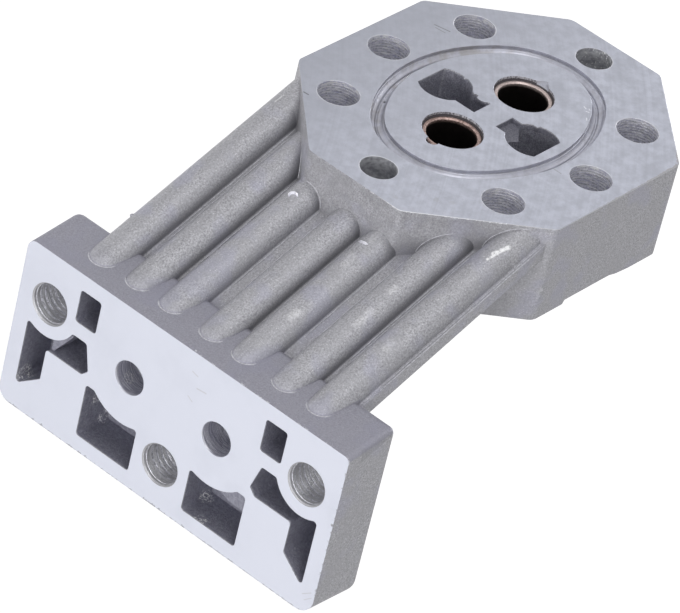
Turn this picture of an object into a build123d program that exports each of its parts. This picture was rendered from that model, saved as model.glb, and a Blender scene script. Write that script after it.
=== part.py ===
from build123d import *
from math import atan, atan2, cos, degrees, radians, tan
import os

# Gear pump end bracket: one aluminium casting with two shaft bushes pressed in.
# Millimetres. The origin is the centre of the octagonal machined face, which is the
# plane z = 0 and looks along +Z. The foot plate lies towards -X, and its machined
# face looks along -X, at right angles to the octagonal one. Sketches on the foot
# face have -Y to the right and Z up, as somebody in front of that face sees it.

# Head, the octagonal block that closes the gear housing
head_length = 96.0
head_width = 78.0
head_corner_cut = 25.5
head_depth = 25.8
head_side_radius = 2.5
head_lower_chamfer = 0.6
relief_depth = 1.6
relief_start_x = -11.5
relief_end_x = 5.0
relief_run_in = 1.0
relief_step_depth = 1.0
relief_step_x = 7.7
relief_fade_x = 20.0

# Screw and dowel holes of the head
screw_radius = 5.0
screw_depth = 18.0
corner_screw_x = 24.8
corner_screw_y = 24.7
side_screw_y = 30.5
dowel_radius = 4.4
dowel_x = 39.5
dowel_depth = 14.0
drill_tip_angle = 118.0

# Gear shafts, their bushes and the bores that hold them
gear_centres = 26.2
bush_bore_radius = 6.0
bush_wall = 1.0
bush_length = 16.0
bush_recess = 1.0
bush_chamfer = 0.3
housing_bore_depth = 19.0
housing_mouth_radius = 7.2
round_notch_radius = 1.6
round_notch_depth = 3.0
pointed_notch_half_width = 2.0
pointed_notch_depth = 1.0
notch_reach = 1.9

# Seal groove, an oval of four arcs round both gears
groove_end_radius = 19.2
groove_half_height = 23.6
groove_width = 3.3
groove_depth = 2.0
groove_x = 0.4
groove_y = 0.2

# Suction and pressure pockets between the gears
pocket_bulge_radius = 6.5
pocket_bulge_y = 13.2
pocket_flat_y = 17.5
pocket_neck_width = 6.3
upper_pocket_inner_y = 1.9
lower_pocket_inner_y = -4.6
pocket_depth = 16.0
lower_neck_depth = 1.4
tongue_left_y = -9.1
tongue_shoulder = (-3.2, -9.5)
tongue_tip = (-1.6, -10.6)
tongue_right_bend = (2.2, -7.7)

# Foot plate
foot_face_x = -97.3
foot_thickness = 16.0
foot_width = 95.6
foot_top_z = -25.2
foot_height = 44.5
foot_top_rise = 1.8
foot_bottom_drop = 1.2
foot_upper_left_radius = 2.5
foot_upper_right_radius = 1.5
foot_lower_left_radius = 3.5
foot_lower_right_radius = 4.5
foot_back_radius = 2.0

# Screw holes of the foot
foot_screw_radius = 5.0
foot_screw_mouth_radius = 5.3
outer_foot_screw_y = 38.6
outer_foot_screw_z = -38.25
middle_foot_screw_z = -58.5

# Oil ports of the foot, and the slanted passages behind them
port_radius = 4.2
port_y = 13.1
port_z = -42.5
port_straight = 6.3
passage_wall = 4.0

# Core pockets in the foot face
core_depth = 10.5
core_corner_radius = 0.8
window_width = 6.2
window_height = 8.6
window_y = 27.8
window_z = -33.5
side_core_outer_y = 43.7
side_core_leg_y = 37.0
side_core_inner_y = 24.5
side_core_top_z = -41.5
side_core_shelf_z = -49.9
side_core_slant_z = -58.3
side_core_tip_z = -63.6
side_core_lean = 1.9
side_core_cut = 1.7
screw_boss_radius = 8.5
big_core_inner_y = 8.1
big_core_outer_y = 24.2
big_core_bottom_z = -65.6
big_core_top_z = -51.6
port_boss_radius = 12.5
ledge_depth = 1.2
side_ledge_low_end = (-36.4, -51.0)
side_ledge_high_end = (-31.2, -43.3)
big_ledge_inner_end = (14.5, -54.5)
big_ledge_bend = (19.0, -56.4)
big_ledge_outer_z = -56.6

# Neck: a slanted web with seven half-round ribs above and two oil ribs below
neck_slope = 0.35
neck_width = 75.4
neck_thickness = 5.5
neck_lower_chamfer = 1.5
neck_root_z = -24.4
neck_root_overlap = 7.8
neck_end_x = -10.0
rib_radius = 4.3
left_rib_radius = 4.6
left_rib_y = 32.4
other_ribs_y = (21.6, 11.6, -0.6, -10.3, -22.2, -32.4)
rib_root_radius = 0.5
lower_join_radius = 1.5

# Slack for picking edges and corners by place or radius
pick_slack = 0.01

# Sizes and planes that follow from the ones above
foot_back_x = foot_face_x + foot_thickness
foot_bottom_z = foot_top_z - foot_height
gear_x = gear_centres / 2
housing_bore_radius = bush_bore_radius + bush_wall
notch_end_x = gear_x + housing_bore_radius + notch_reach
slope_cosine = cos(atan(neck_slope))
groove_plane = Plane(origin=(groove_x, groove_y, 0))
foot_face = Plane(origin=(foot_face_x, 0, 0), x_dir=(0, -1, 0), z_dir=(-1, 0, 0))
neck_root = Plane(
    origin=(foot_back_x, 0, neck_root_z), x_dir=(0, 1, 0), z_dir=(1, 0, neck_slope)
)
neck_start = neck_root.offset(-neck_root_overlap)
neck_length = (neck_end_x - foot_back_x) / slope_cosine + neck_root_overlap
elbow_x = foot_face_x + port_straight
elbow = Plane(origin=(elbow_x, 0, port_z), x_dir=(0, 1, 0), z_dir=(1, 0, neck_slope))
elbow_overlap = port_radius * neck_slope / 2
passage_length = -elbow_x / slope_cosine
passage_drop = (neck_root_z + neck_slope * (elbow_x - foot_back_x) - port_z) * slope_cosine
oil_rib_radius = port_radius + passage_wall
corner_screws = [
    (x, y) for x in (-corner_screw_x, corner_screw_x) for y in (-corner_screw_y, corner_screw_y)
]
side_screws = [(0, -side_screw_y), (0, side_screw_y)]
foot_screws = [
    (-outer_foot_screw_y, outer_foot_screw_z),
    (outer_foot_screw_y, outer_foot_screw_z),
    (0, middle_foot_screw_z),
]


# Head block, with its shallow relief across the underside
with BuildPart() as head:
    with BuildSketch(Plane.XY) as head_outline:
        Rectangle(head_length, head_width)
        chamfer(head_outline.vertices(), head_corner_cut)
    extrude(amount=-head_depth)
    fillet(head.edges().filter_by(Axis.Z), head_side_radius)
    chamfer(head.faces().sort_by(Axis.Z)[0].edges(), head_lower_chamfer)
    with BuildSketch(Plane.XZ):
        with BuildLine():
            Polyline(
                (relief_start_x - relief_run_in, -head_depth),
                (relief_start_x, relief_depth - head_depth),
                (relief_end_x, relief_depth - head_depth),
                (relief_step_x, relief_step_depth - head_depth),
                (relief_fade_x, -head_depth),
                close=True,
            )
        make_face()
    extrude(amount=head_width, both=True, mode=Mode.SUBTRACT)


# Foot plate, whose upper side climbs a little towards the neck
with BuildPart() as foot:
    with BuildSketch(Plane.XZ):
        with BuildLine():
            Polyline(
                (foot_face_x, foot_bottom_z),
                (foot_back_x, foot_bottom_z - foot_bottom_drop),
                (foot_back_x, foot_top_z + foot_top_rise),
                (foot_face_x, foot_top_z),
                close=True,
            )
        make_face()
    extrude(amount=foot_width / 2, both=True)
    corners = foot.edges().filter_by(lambda edge: edge.bounding_box().size.X > foot_thickness / 2)
    lower_right, lower_left = corners.group_by(Axis.Z)[0].sort_by(Axis.Y)
    upper_right, upper_left = corners.group_by(Axis.Z)[-1].sort_by(Axis.Y)
    fillet(lower_left, foot_lower_left_radius)
    fillet(lower_right, foot_lower_right_radius)
    fillet(upper_left, foot_upper_left_radius)
    fillet(upper_right, foot_upper_right_radius)
    fillet(foot.faces().sort_by(Axis.X)[-1].edges(), foot_back_radius)


def is_rib_root(corner):
    """True for the corners of the neck's section where a rib stands on the web."""
    return abs(corner.Y) < pick_slack and abs(corner.X) < neck_width / 2 - pick_slack


# Neck: one cross-section of web, ribs and oil ribs, drawn out along the slope
with BuildPart() as neck:
    with BuildSketch(neck_start) as section:
        with Locations((0, -neck_thickness / 2)):
            Rectangle(neck_width, neck_thickness)
        chamfer(section.vertices().group_by(Axis.Y)[0], neck_lower_chamfer)
        with Locations((left_rib_y, 0)):
            Circle(left_rib_radius)
        with Locations(*[(y, 0) for y in other_ribs_y]):
            Circle(rib_radius)
        with Locations((-port_y, -passage_drop), (port_y, -passage_drop)):
            Circle(oil_rib_radius)
        with Locations((-port_y, -passage_drop / 2), (port_y, -passage_drop / 2)):
            Rectangle(2 * oil_rib_radius, passage_drop)
        fillet(section.vertices().filter_by(is_rib_root), rib_root_radius)
    extrude(amount=neck_length)
    with Locations(neck_start.from_local_coords((left_rib_y, 0))):
        Sphere(left_rib_radius)
    with Locations(*[neck_start.from_local_coords((y, 0)) for y in other_ribs_y]):
        Sphere(rib_radius)
    split(bisect_by=Plane.XY, keep=Keep.BOTTOM)


# Drill for the blind screw holes of the head
with BuildPart() as screw_drill:
    tip_length = screw_radius / tan(radians(drill_tip_angle / 2))
    with BuildSketch(Plane.XZ):
        with BuildLine():
            Polyline(
                (0, 0),
                (screw_radius, 0),
                (screw_radius, -screw_depth),
                (0, -screw_depth - tip_length),
                close=True,
            )
        make_face()
    revolve(axis=Axis.Z)


# The casting
with BuildPart() as casting:
    add(head.part)
    add(foot.part)
    add(neck.part)

    # Blends along the underside of the web, where it leaves the head and the foot
    joins = new_edges(head.part, foot.part, neck.part, combined=casting.part).filter_by(Axis.Y)
    web_joins = joins.filter_by(
        lambda edge: neck_root.to_local_coords(edge.center()).Y < -neck_thickness / 2
    )
    fillet(web_joins, lower_join_radius)

    # Screw and dowel holes of the head
    with Locations(*corner_screws, *side_screws):
        add(screw_drill.part, mode=Mode.SUBTRACT)
    with BuildSketch(Plane.XY):
        with Locations((-dowel_x, 0), (dowel_x, 0)):
            Circle(dowel_radius)
    extrude(amount=-dowel_depth, mode=Mode.SUBTRACT)

    # Housing bores for the bushes, with a wider mouth above each bush
    with BuildSketch(Plane.XY):
        with Locations((-gear_x, 0), (gear_x, 0)):
            Circle(housing_bore_radius)
    extrude(amount=-housing_bore_depth, mode=Mode.SUBTRACT)
    with BuildSketch(Plane.XY):
        with Locations((-gear_x, 0), (gear_x, 0)):
            Circle(housing_mouth_radius)
    extrude(amount=-bush_recess, mode=Mode.SUBTRACT)

    # Notches at the outer ends of the bores, one round and one pointed
    with BuildSketch(Plane.XY):
        with Locations((round_notch_radius - notch_end_x, 0)):
            Circle(round_notch_radius)
    extrude(amount=-round_notch_depth, mode=Mode.SUBTRACT)
    with BuildSketch(Plane.XY):
        with BuildLine():
            Polyline(
                (gear_x, -pointed_notch_half_width),
                (gear_x + housing_bore_radius, -pointed_notch_half_width),
                (notch_end_x, 0),
                (gear_x + housing_bore_radius, pointed_notch_half_width),
                (gear_x, pointed_notch_half_width),
                close=True,
            )
        make_face()
    extrude(amount=-pointed_notch_depth, mode=Mode.SUBTRACT)

    # Seal groove: end arcs about the shaft axes, side arcs tangent to them
    side_rise = groove_half_height - groove_end_radius
    side_centre = (gear_x**2 - side_rise**2) / (2 * side_rise)
    side_radius = groove_half_height + side_centre
    end_angle = degrees(atan2(side_centre, gear_x))
    with BuildSketch(groove_plane):
        with BuildLine():
            CenterArc((gear_x, 0), groove_end_radius, -end_angle, 2 * end_angle)
            CenterArc((0, -side_centre), side_radius, end_angle, 180 - 2 * end_angle)
            CenterArc((-gear_x, 0), groove_end_radius, 180 - end_angle, 2 * end_angle)
            CenterArc((0, side_centre), side_radius, 180 + end_angle, 180 - 2 * end_angle)
        make_face()
        offset(amount=-groove_width, mode=Mode.SUBTRACT)
    extrude(amount=-groove_depth, mode=Mode.SUBTRACT)

    # Pressure pocket, deep all over
    with BuildSketch(Plane.XY):
        with Locations((0, pocket_bulge_y)):
            Circle(pocket_bulge_radius)
        with Locations((0, (upper_pocket_inner_y + pocket_bulge_y) / 2)):
            Rectangle(pocket_neck_width, pocket_bulge_y - upper_pocket_inner_y)
        with Locations((0, pocket_flat_y + pocket_bulge_radius)):
            Rectangle(2 * pocket_bulge_radius, 2 * pocket_bulge_radius, mode=Mode.SUBTRACT)
    extrude(amount=-pocket_depth, mode=Mode.SUBTRACT)

    # Suction pocket, whose neck is a shallow slot that ends in a tongue
    with BuildSketch(Plane.XY):
        with Locations((0, -pocket_bulge_y)):
            Circle(pocket_bulge_radius)
        with Locations((0, (lower_pocket_inner_y - pocket_bulge_y) / 2)):
            Rectangle(pocket_neck_width, pocket_bulge_y + lower_pocket_inner_y)
        with Locations((0, -pocket_flat_y - pocket_bulge_radius)):
            Rectangle(2 * pocket_bulge_radius, 2 * pocket_bulge_radius, mode=Mode.SUBTRACT)
    extrude(amount=-lower_neck_depth, mode=Mode.SUBTRACT)
    with BuildSketch(Plane.XY):
        with Locations((0, -pocket_bulge_y)):
            Circle(pocket_bulge_radius)
        with Locations((0, -pocket_flat_y - pocket_bulge_radius)):
            Rectangle(2 * pocket_bulge_radius, 2 * pocket_bulge_radius, mode=Mode.SUBTRACT)
        with BuildLine():
            Polyline(
                (-pocket_bulge_radius, pocket_bulge_radius - pocket_bulge_y),
                (-pocket_bulge_radius, tongue_left_y),
                tongue_shoulder,
                tongue_tip,
                tongue_right_bend,
                (pocket_bulge_radius, pocket_bulge_radius - pocket_bulge_y),
                close=True,
            )
        make_face(mode=Mode.SUBTRACT)
    extrude(amount=-pocket_depth, mode=Mode.SUBTRACT)

    # Oil ports, and the slanted passages that join them to the pockets
    with BuildSketch(foot_face):
        with Locations((-port_y, port_z), (port_y, port_z)):
            Circle(port_radius)
    extrude(amount=-port_straight - elbow_overlap, mode=Mode.SUBTRACT)
    with BuildSketch(elbow.offset(-elbow_overlap)):
        with Locations((-port_y, 0), (port_y, 0)):
            Circle(port_radius)
    extrude(amount=passage_length + elbow_overlap, mode=Mode.SUBTRACT)

    # Windows beside the outer screws
    with BuildSketch(foot_face):
        with Locations((-window_y, window_z), (window_y, window_z)):
            RectangleRounded(window_width, window_height, core_corner_radius)
    extrude(amount=-core_depth, mode=Mode.SUBTRACT)

    # Side cores: a stepped outline that keeps clear of each outer screw's boss
    with BuildSketch(foot_face) as side_cores:
        with BuildLine():
            Polyline(
                (side_core_inner_y + side_core_lean, side_core_top_z),
                (side_core_outer_y, side_core_top_z),
                (side_core_outer_y, side_core_tip_z),
                (side_core_leg_y, side_core_slant_z),
                (side_core_leg_y, side_core_shelf_z),
                (side_core_inner_y + side_core_cut, side_core_shelf_z),
                (side_core_inner_y, side_core_shelf_z + side_core_cut),
                close=True,
            )
        make_face()
        with Locations((outer_foot_screw_y, outer_foot_screw_z)):
            Circle(screw_boss_radius, mode=Mode.SUBTRACT)
        fillet(side_cores.vertices(), core_corner_radius)
        mirror(about=Plane.YZ)
    extrude(amount=-core_depth, mode=Mode.SUBTRACT)

    # Big cores below the oil ports
    with BuildSketch(foot_face) as big_cores:
        with Locations((big_core_inner_y, big_core_bottom_z)):
            Rectangle(
                big_core_outer_y - big_core_inner_y,
                big_core_top_z - big_core_bottom_z,
                align=Align.MIN,
            )
        with Locations((port_y, port_z)):
            Circle(port_boss_radius, mode=Mode.SUBTRACT)
        fillet(big_cores.vertices(), core_corner_radius)
        mirror(about=Plane.YZ)
    extrude(amount=-core_depth, mode=Mode.SUBTRACT)

    # Shallow ledges that the cores left standing, one in a side core and one in a big one
    with BuildSketch(foot_face.offset(-ledge_depth)):
        with BuildLine():
            Polyline(
                side_ledge_low_end,
                side_ledge_high_end,
                (side_ledge_high_end[0], side_core_top_z),
                (side_ledge_low_end[0], side_core_top_z),
                close=True,
            )
        make_face()
        with BuildLine():
            Polyline(
                big_ledge_inner_end,
                big_ledge_bend,
                (big_core_outer_y, big_ledge_outer_z),
                (big_core_outer_y, big_core_top_z),
                close=True,
            )
        make_face()
    extrude(amount=ledge_depth - core_depth)

    # Screw holes of the foot, with their broken mouths
    with BuildSketch(foot_face):
        with Locations(*foot_screws):
            Circle(foot_screw_radius)
    extrude(amount=-foot_thickness, mode=Mode.SUBTRACT)
    mouths = casting.faces().sort_by(Axis.X)[0].edges().filter_by(GeomType.CIRCLE)
    screw_mouths = mouths.filter_by(lambda edge: abs(edge.radius - foot_screw_radius) < pick_slack)
    chamfer(screw_mouths, foot_screw_mouth_radius - foot_screw_radius)


def make_bush():
    """One cylindrical bush, its upper end at z = 0 with broken edges."""
    with BuildPart() as bush:
        with BuildSketch(Plane.XY):
            Circle(bush_bore_radius + bush_wall)
            Circle(bush_bore_radius, mode=Mode.SUBTRACT)
        extrude(amount=-bush_length)
        chamfer(bush.faces().sort_by(Axis.Z)[-1].edges(), bush_chamfer)
    return bush.part


# Bushes, pressed into the housing bores
with BuildPart() as inner_bush:
    with Locations((-gear_x, 0, -bush_recess)):
        add(make_bush())

with BuildPart() as outer_bush:
    with Locations((gear_x, 0, -bush_recess)):
        add(make_bush())

casting.part.label = "bracket_casting"
inner_bush.part.label = "inner_shaft_bush"
outer_bush.part.label = "outer_shaft_bush"

os.makedirs("parts", exist_ok=True)
export_step(casting.part, "parts/bracket_casting.step")
export_step(inner_bush.part, "parts/inner_shaft_bush.step")
export_step(outer_bush.part, "parts/outer_shaft_bush.step")
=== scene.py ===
import math

import bpy
from mathutils import Matrix, Vector


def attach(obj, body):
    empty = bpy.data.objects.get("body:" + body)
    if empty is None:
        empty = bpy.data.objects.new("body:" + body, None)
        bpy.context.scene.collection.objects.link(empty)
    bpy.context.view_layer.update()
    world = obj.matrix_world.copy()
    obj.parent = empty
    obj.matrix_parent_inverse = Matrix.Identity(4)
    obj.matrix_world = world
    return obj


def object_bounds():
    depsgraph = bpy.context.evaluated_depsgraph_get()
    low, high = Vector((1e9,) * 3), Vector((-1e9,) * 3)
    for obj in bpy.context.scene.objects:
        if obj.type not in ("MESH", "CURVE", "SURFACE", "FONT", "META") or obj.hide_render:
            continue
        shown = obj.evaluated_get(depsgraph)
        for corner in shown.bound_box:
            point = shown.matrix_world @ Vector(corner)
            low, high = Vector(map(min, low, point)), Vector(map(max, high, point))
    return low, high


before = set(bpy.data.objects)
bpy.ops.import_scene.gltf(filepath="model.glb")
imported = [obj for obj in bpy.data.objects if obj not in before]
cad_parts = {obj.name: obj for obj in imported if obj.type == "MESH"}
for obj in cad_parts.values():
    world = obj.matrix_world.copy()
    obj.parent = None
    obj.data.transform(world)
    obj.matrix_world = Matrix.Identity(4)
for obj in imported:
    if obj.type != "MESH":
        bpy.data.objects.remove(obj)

# Lengths of the object and its materials are in mm, and are turned into metres where they go in.
cad_low, cad_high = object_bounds()
MM = 0.001

# Camera, fitted to the outlines in the photograph, in metres
CAMERA_RIGHT = (0.63984, -0.74242, 0.19852)
CAMERA_UP = (0.33918, 0.50461, 0.79393)
CAMERA_BACK = (-0.68961, -0.44066, 0.57468)
CAMERA_PLACE = (-0.88022, -0.53618, 0.66102)
CAMERA_CLIP = (0.05, 20.0)
FOCAL_PIXELS = 5369.71
IMAGE_WIDTH = 680
SENSOR_WIDTH = 36.0

# Faces, holes and grooves of the casting, in mm, that the pieces and materials refer to
FOOT_FACE_X = -97.3
FOOT_BACK_X = -81.3
FOOT_HALF_WIDTH = 47.8
FOOT_BOTTOM_Z = -69.54
FOOT_TOP_SLOPE = 0.1125
FOOT_TOP_Z = -14.254
HEAD_HALF_LENGTH = 48.0
HEAD_HALF_WIDTH = 39.0
HEAD_CORNER_REACH = 61.5
HEAD_HOLES_END_Z = -21.5
WEB_SLOPE = 0.34747
WEB_Z = 4.016
CORNER_SCREW = (24.8, 24.7)
SIDE_SCREW = (0.0, 30.5)
DOWEL = (39.5, 0.0)
OUTER_FOOT_SCREW = (38.6, -38.25)
MIDDLE_FOOT_SCREW = (0.0, -58.5)
PORT = (13.1, -42.5)
GEAR_X = 13.1
SCREW_RADIUS = 5.0
DOWEL_RADIUS = 4.4
PORT_RADIUS = 4.2
MOUTH_RADIUS = 7.2
POCKET_HALF_WIDTH = 6.6
POCKET_END_Y = 17.7
SLOT_FLOOR_Z = -1.7
CORES_END_X = -86.4
CORES_HALF_WIDTH = 46.0
CORES_Z = (-67.5, -27.5)

# The seal groove: its own measures, and the half axes of ellipses that clear its two walls and
# run along its middle
GROOVE_WIDTH = 3.3
GROOVE_END_RADIUS = 19.2
GROOVE_HALF_HEIGHT = 23.6
GROOVE_PLACE = (0.4, 0.2)
GROOVE_FLOOR_Z = -2.0
GROOVE_INSIDE = (27.0, 19.0)
GROOVE_OUTSIDE = (34.0, 25.0)
GROOVE_MIDDLE = (30.5, 22.0)

# The ribs: middle in y and radius, and where their round ends stand at the foot, in x and z
RIBS = ((32.4, 4.6), (21.6, 4.3), (11.6, 4.3), (-0.6, 4.3), (-10.3, 4.3), (-22.2, 4.3), (-32.4, 4.3))
RIB_END = (-88.6, -26.85)

# How far a mask reaches past the face, the wall or the shafts' mouths that it marks, in mm
SLACK = 0.02
WALL_SLACK = 0.2
NOTCH_REACH = 2.4

# Bands of the skin in mm: in x, above the foot's top, above the web, and past the octagon's rim
RIBS_X = (-93.0, -34.0)
FOOT_TOP_BAND = (-1.0, 0.25)
RIB_TIP_BAND = (0.25, 4.0)
RIB_BAND = (-0.1, 4.9)
RIB_END_SHADE_BAND = (0.1, 5.3)
WALL_BAND = (-0.3, 0.1)
OFF_WALL = 0.03

# Worn rims in mm: how far in and down on the octagon, down for its painted highlight line, and on the
# foot
RIM_REACH = 0.35
RIM_DEPTH = 0.32
RIM_HIGHLIGHT_DEPTH = 0.22
FOOT_RIM_DEPTH = 0.35
FOOT_RIM_Z = -26.8

# Colours, as red, green and blue
TONES = {
    "white": (1.0, 1.0, 1.0),
    "cloud": (0.43, 0.428, 0.46),
    "stain": (0.42, 0.42, 0.53),
    "skin_glint": (0.86, 0.86, 0.89),
    "foot_top": (0.33, 0.325, 0.41),
    "rib_tip": (0.35, 0.347, 0.40),
    "rib_flank_shade": (0.20, 0.20, 0.22),
    "crease_shade": (0.21, 0.208, 0.225),
    "wall": (0.27, 0.268, 0.285),
    "rib_end_shade": (0.13, 0.13, 0.145),
    "rim_wear_and_highlight": (0.92, 0.93, 0.97),
    "foot_nick": (0.85, 0.86, 0.90),
    "drag": (0.44, 0.44, 0.52),
    "pit_fleck": (0.66, 0.66, 0.72),
    "pocket_glint": (0.62, 0.62, 0.70),
    "suction_side_shade": (0.08, 0.08, 0.10),
    "slot": (0.10, 0.10, 0.13),
    "foot_mouth": (0.12, 0.12, 0.13),
    "mouth_contact_shadow": (0.10, 0.09, 0.10),
    "notch": (0.62, 0.63, 0.69),
    "head_smear": (0.43, 0.445, 0.51),
    "head_far_shade": (0.40, 0.413, 0.475),
    "burr": (0.78, 0.79, 0.84),
    "head_chips": (0.42, 0.41, 0.43),
    "brown": (0.36, 0.345, 0.35),
    "foot_clean": (0.69, 0.71, 0.80),
    "foot_smear": (0.625, 0.645, 0.73),
    "foot_chips": (0.30, 0.30, 0.33),
    "rub_and_highlight": (0.95, 0.95, 0.97),
    "bush_rim_highlight": (0.80, 0.74, 0.73),
}

# Pairs of a dark and a light colour, between which a part is uneven
SHADES = {
    "skin": ((0.278, 0.276, 0.298), (0.604, 0.602, 0.644)),
    "pit": ((0.24, 0.24, 0.30), (0.335, 0.335, 0.405)),
    "port": ((0.40, 0.40, 0.49), (0.80, 0.80, 0.86)),
    "foot_screw": ((0.46, 0.46, 0.48), (0.70, 0.70, 0.73)),
    "head_screw": ((0.53, 0.53, 0.66), (1.0, 1.0, 1.0)),
    "dowel": ((0.34, 0.34, 0.38), (0.64, 0.65, 0.68)),
    "mouth": ((0.20, 0.20, 0.23), (0.62, 0.62, 0.67)),
    "head": ((0.475, 0.492, 0.568), (0.605, 0.625, 0.72)),
    "groove": ((0.42, 0.42, 0.47), (0.56, 0.57, 0.65)),
    "bush": ((0.28, 0.19, 0.17), (0.60, 0.45, 0.41)),
    "bore_shade": ((0.006, 0.005, 0.005), (0.018, 0.013, 0.012)),
}

# Noise: about how large its blobs are in mm, its detail and its roughness
NOISES = {
    "grain": (0.42, 2.0, 0.6),
    "cloud": (8.0, 3.0, 0.5),
    "stain": (9.0, 2.0, 0.5),
    "skin_glint": (0.30, 1.0, 0.5),
    "wall": (3.0, 3.0, 0.6),
    "wear": (1.6, 3.0, 0.75),
    "pit": (0.8, 4.0, 0.7),
    "drag": (0.9, 3.0, 0.6),
    "pit_fleck": (0.5, 1.0, 0.5),
    "pocket_glint": (0.33, 2.0, 0.7),
    "strokes": (0.8, 2.0, 0.6),
    "mottle": (2.2, 2.0, 0.5),
    "chatter": (0.4, 2.0, 0.7),
    "dowel_fleck": (0.5, 1.0, 0.5),
    "ticks": (0.36, 1.0, 0.5),
    "haze": (3.0, 4.0, 0.65),
    "smear": (14.0, 4.0, 0.6),
    "arcs": (1.1, 3.0, 0.7),
    "head_chips": (1.6, 4.0, 0.75),
    "groove_turns": (0.45, 3.0, 0.7),
    "brown": (5.0, 3.0, 0.6),
    "foot_chips": (1.5, 4.0, 0.75),
    "ragged": (0.8, 3.0, 0.7),
    "glint_flecks": (0.6, 3.0, 0.75),
    "bush": (0.5, 3.0, 0.6),
    "bare": (0.7, 4.0, 0.7),
}

# Soft steps of a noise, a place in mm or a direction: where they start and end, and what they
# give there, which is 0 and 1 where it isn't said
FADES = {
    "grain": (0.3, 0.7),
    "cloud": (0.35, 0.7, 0.0, 0.5),
    "stain": (0.5, 0.66, 0.0, 0.45),
    "skin_glint": (0.60, 0.76, 0.0, 0.6),
    "rib_tip": (-86.5, -92.0, 0.0, 0.4),
    "rib_flank_shade": (-0.5, -0.95, 0.0, 0.3),
    "open_sky": (0.12, 0.8),
    "wall": (0.35, 0.65, 0.15, 0.5),
    "wall_x": (-22.0, -30.0),
    "rib_end_shade": (2.6, 0.1),
    "rib_end_shade_turn": (0.15, -0.8, 0.0, 0.6),
    "wear": (0.50, 0.60),
    "wear_x": (-22.0, -30.0, 0.25, 1.0),
    "wear_y": (2.0, -8.0, 0.3, 1.0),
    "rim_highlight_x": (-30.0, -40.0, 0.45, 0.9),
    "rim_highlight_y": (-4.0, -14.0),
    "foot_wear": (0.5, 0.9, 0.0, 0.6),
    "pocket_edge": (-0.1, -0.45),
    "core_edge": (FOOT_FACE_X + 0.1, FOOT_FACE_X + 0.5),
    "pit": (0.35, 0.65),
    "drag": (0.5, 0.8, 0.0, 0.4),
    "pit_fleck": (0.64, 0.76, 0.0, 0.4),
    "pocket_glint": (0.46, 0.64, 0.0, 0.6),
    "suction_side_shade": (0.0, -1.0, 0.0, 0.22),
    "bored": (0.36, 0.64),
    "foot_mouth": (FOOT_FACE_X + 0.35, FOOT_FACE_X + 0.25, 0.0, 0.5),
    "chatter": (0.52, 0.62, 0.0, 0.6),
    "dowel_fleck": (0.62, 0.70),
    "dowel_fleck_x": (39.0, 42.0),
    "ticks": (0.38, 0.58),
    "mouth_contact_shadow": (-0.5, -0.72),
    "swirl": (0.35, 0.65),
    "head_smear": (0.5, 0.72, 0.0, 0.6),
    "head_far_shade": (-6.0, 42.0, 0.0, 0.75),
    "burr": (0.30, 0.12),
    "burr_smear": (0.35, 0.6, 0.0, 0.7),
    "head_chips": (0.60, 0.70, 0.0, 0.85),
    "head_chips_x": (-12.0, -4.0),
    "head_chips_y": (-34.0, -37.0),
    "deeper_chips": (6.0, 20.0, 0.0, 0.3),
    "groove": (0.36, 0.64),
    "brown": (0.44, 0.62, 0.0, 0.7),
    "brown_y": (8.0, 16.0),
    "foot_smear": (0.45, 0.75, 0.0, 0.5),
    "foot_chips": (-1.45, -1.7, 0.0, 0.7),
    "glint_flecks": (0.50, 0.57),
    "rub_grain": (0.28, 0.48, 0.35, 1.0),
    "rub_ragged": (0.40, 0.56, 0.45, 1.0),
    "bush": (0.35, 0.7),
    "bush_rim_highlight": (-5.0, 5.0, 0.0, 0.40),
    "bush_rim": (-2.2, -1.35),
    "bare": (0.35, 0.65),
    "uneven_shine": (0.3, 0.7, 0.35, 0.55),
}

# How noise is squeezed along x, y and z, so that it runs in streaks
STRETCHES = {
    "drag": (0.35, 1.0, 0.35),
    "foot_screw": (2.8, 0.16, 0.16),
    "head_screw": (0.45, 0.45, 2.2),
    "dowel": (0.5, 0.5, 0.8),
    "ticks": (1.0, 1.0, 0.6),
}

# The same for a port, out from its axis, down it, and along y and z, and across the groove
PORT_RINGS = 3.6
PORT_TURNS = 2.4
PORT_STRETCH = 0.2
GROOVE_TURNS = 26.0

# Centre of the octagon's turning arcs, and how far in from a rim its chips can reach, in mm
ARCS_CENTRE = (-160.0, 210.0, 0.0)
HEAD_CHIPS_REACH = 1.6
FOOT_CHIPS_REACH = 3.0

# Shares of the tools' strokes, arcs and turns against the slower noise with them
STROKES_SHARE = 0.75
ARCS_SHARE = 0.35
GROOVE_TURNS_SHARE = 0.45

# How strongly the foot's top, the slot's painted shade and scratches take on their own tone
FOOT_TOP_SHARE = 0.6
SLOT_SHADE_SHARE = 0.4
SCRATCH_SHARE = 0.75

# Parts of a streak's width and of a cluster's radius where it has its full strength
STREAK_CORE = 0.3
CLUSTER_CORE = 0.5

# Spots: how uneven their edge is and where it starts and ends, as parts of their radius
SPOT_UNEVEN = 2.0
SPOT_EDGE = (2.1, 1.3)

# How much bluer than grey a spot, and a scratch or bare metal are
SPOT_BLUE = 1.06
BARE_BLUE = 1.08

# Shine of the casting: its skin, bored walls and cut faces, the pits and bored walls in them,
# and its rubs and painted highlights
ROUGHNESS = (0.55, 0.45, 0.42)
METALLIC = (0.25, 0.55, 0.55)
PIT_METALLIC = (0.05, 0.5)
RUB_AND_HIGHLIGHT_ROUGHNESS = 0.3

# Relief: its strength and its height in mm, and the casting's shares of the pits' grain and of
# the milling
CAST_RELIEF = (0.6, 0.18)
BUSH_RELIEF = (0.3, 0.05)
BARE_RELIEF = (0.5, 0.12)
PIT_RELIEF = 3.0
CUT_RELIEF = 0.06

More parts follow.
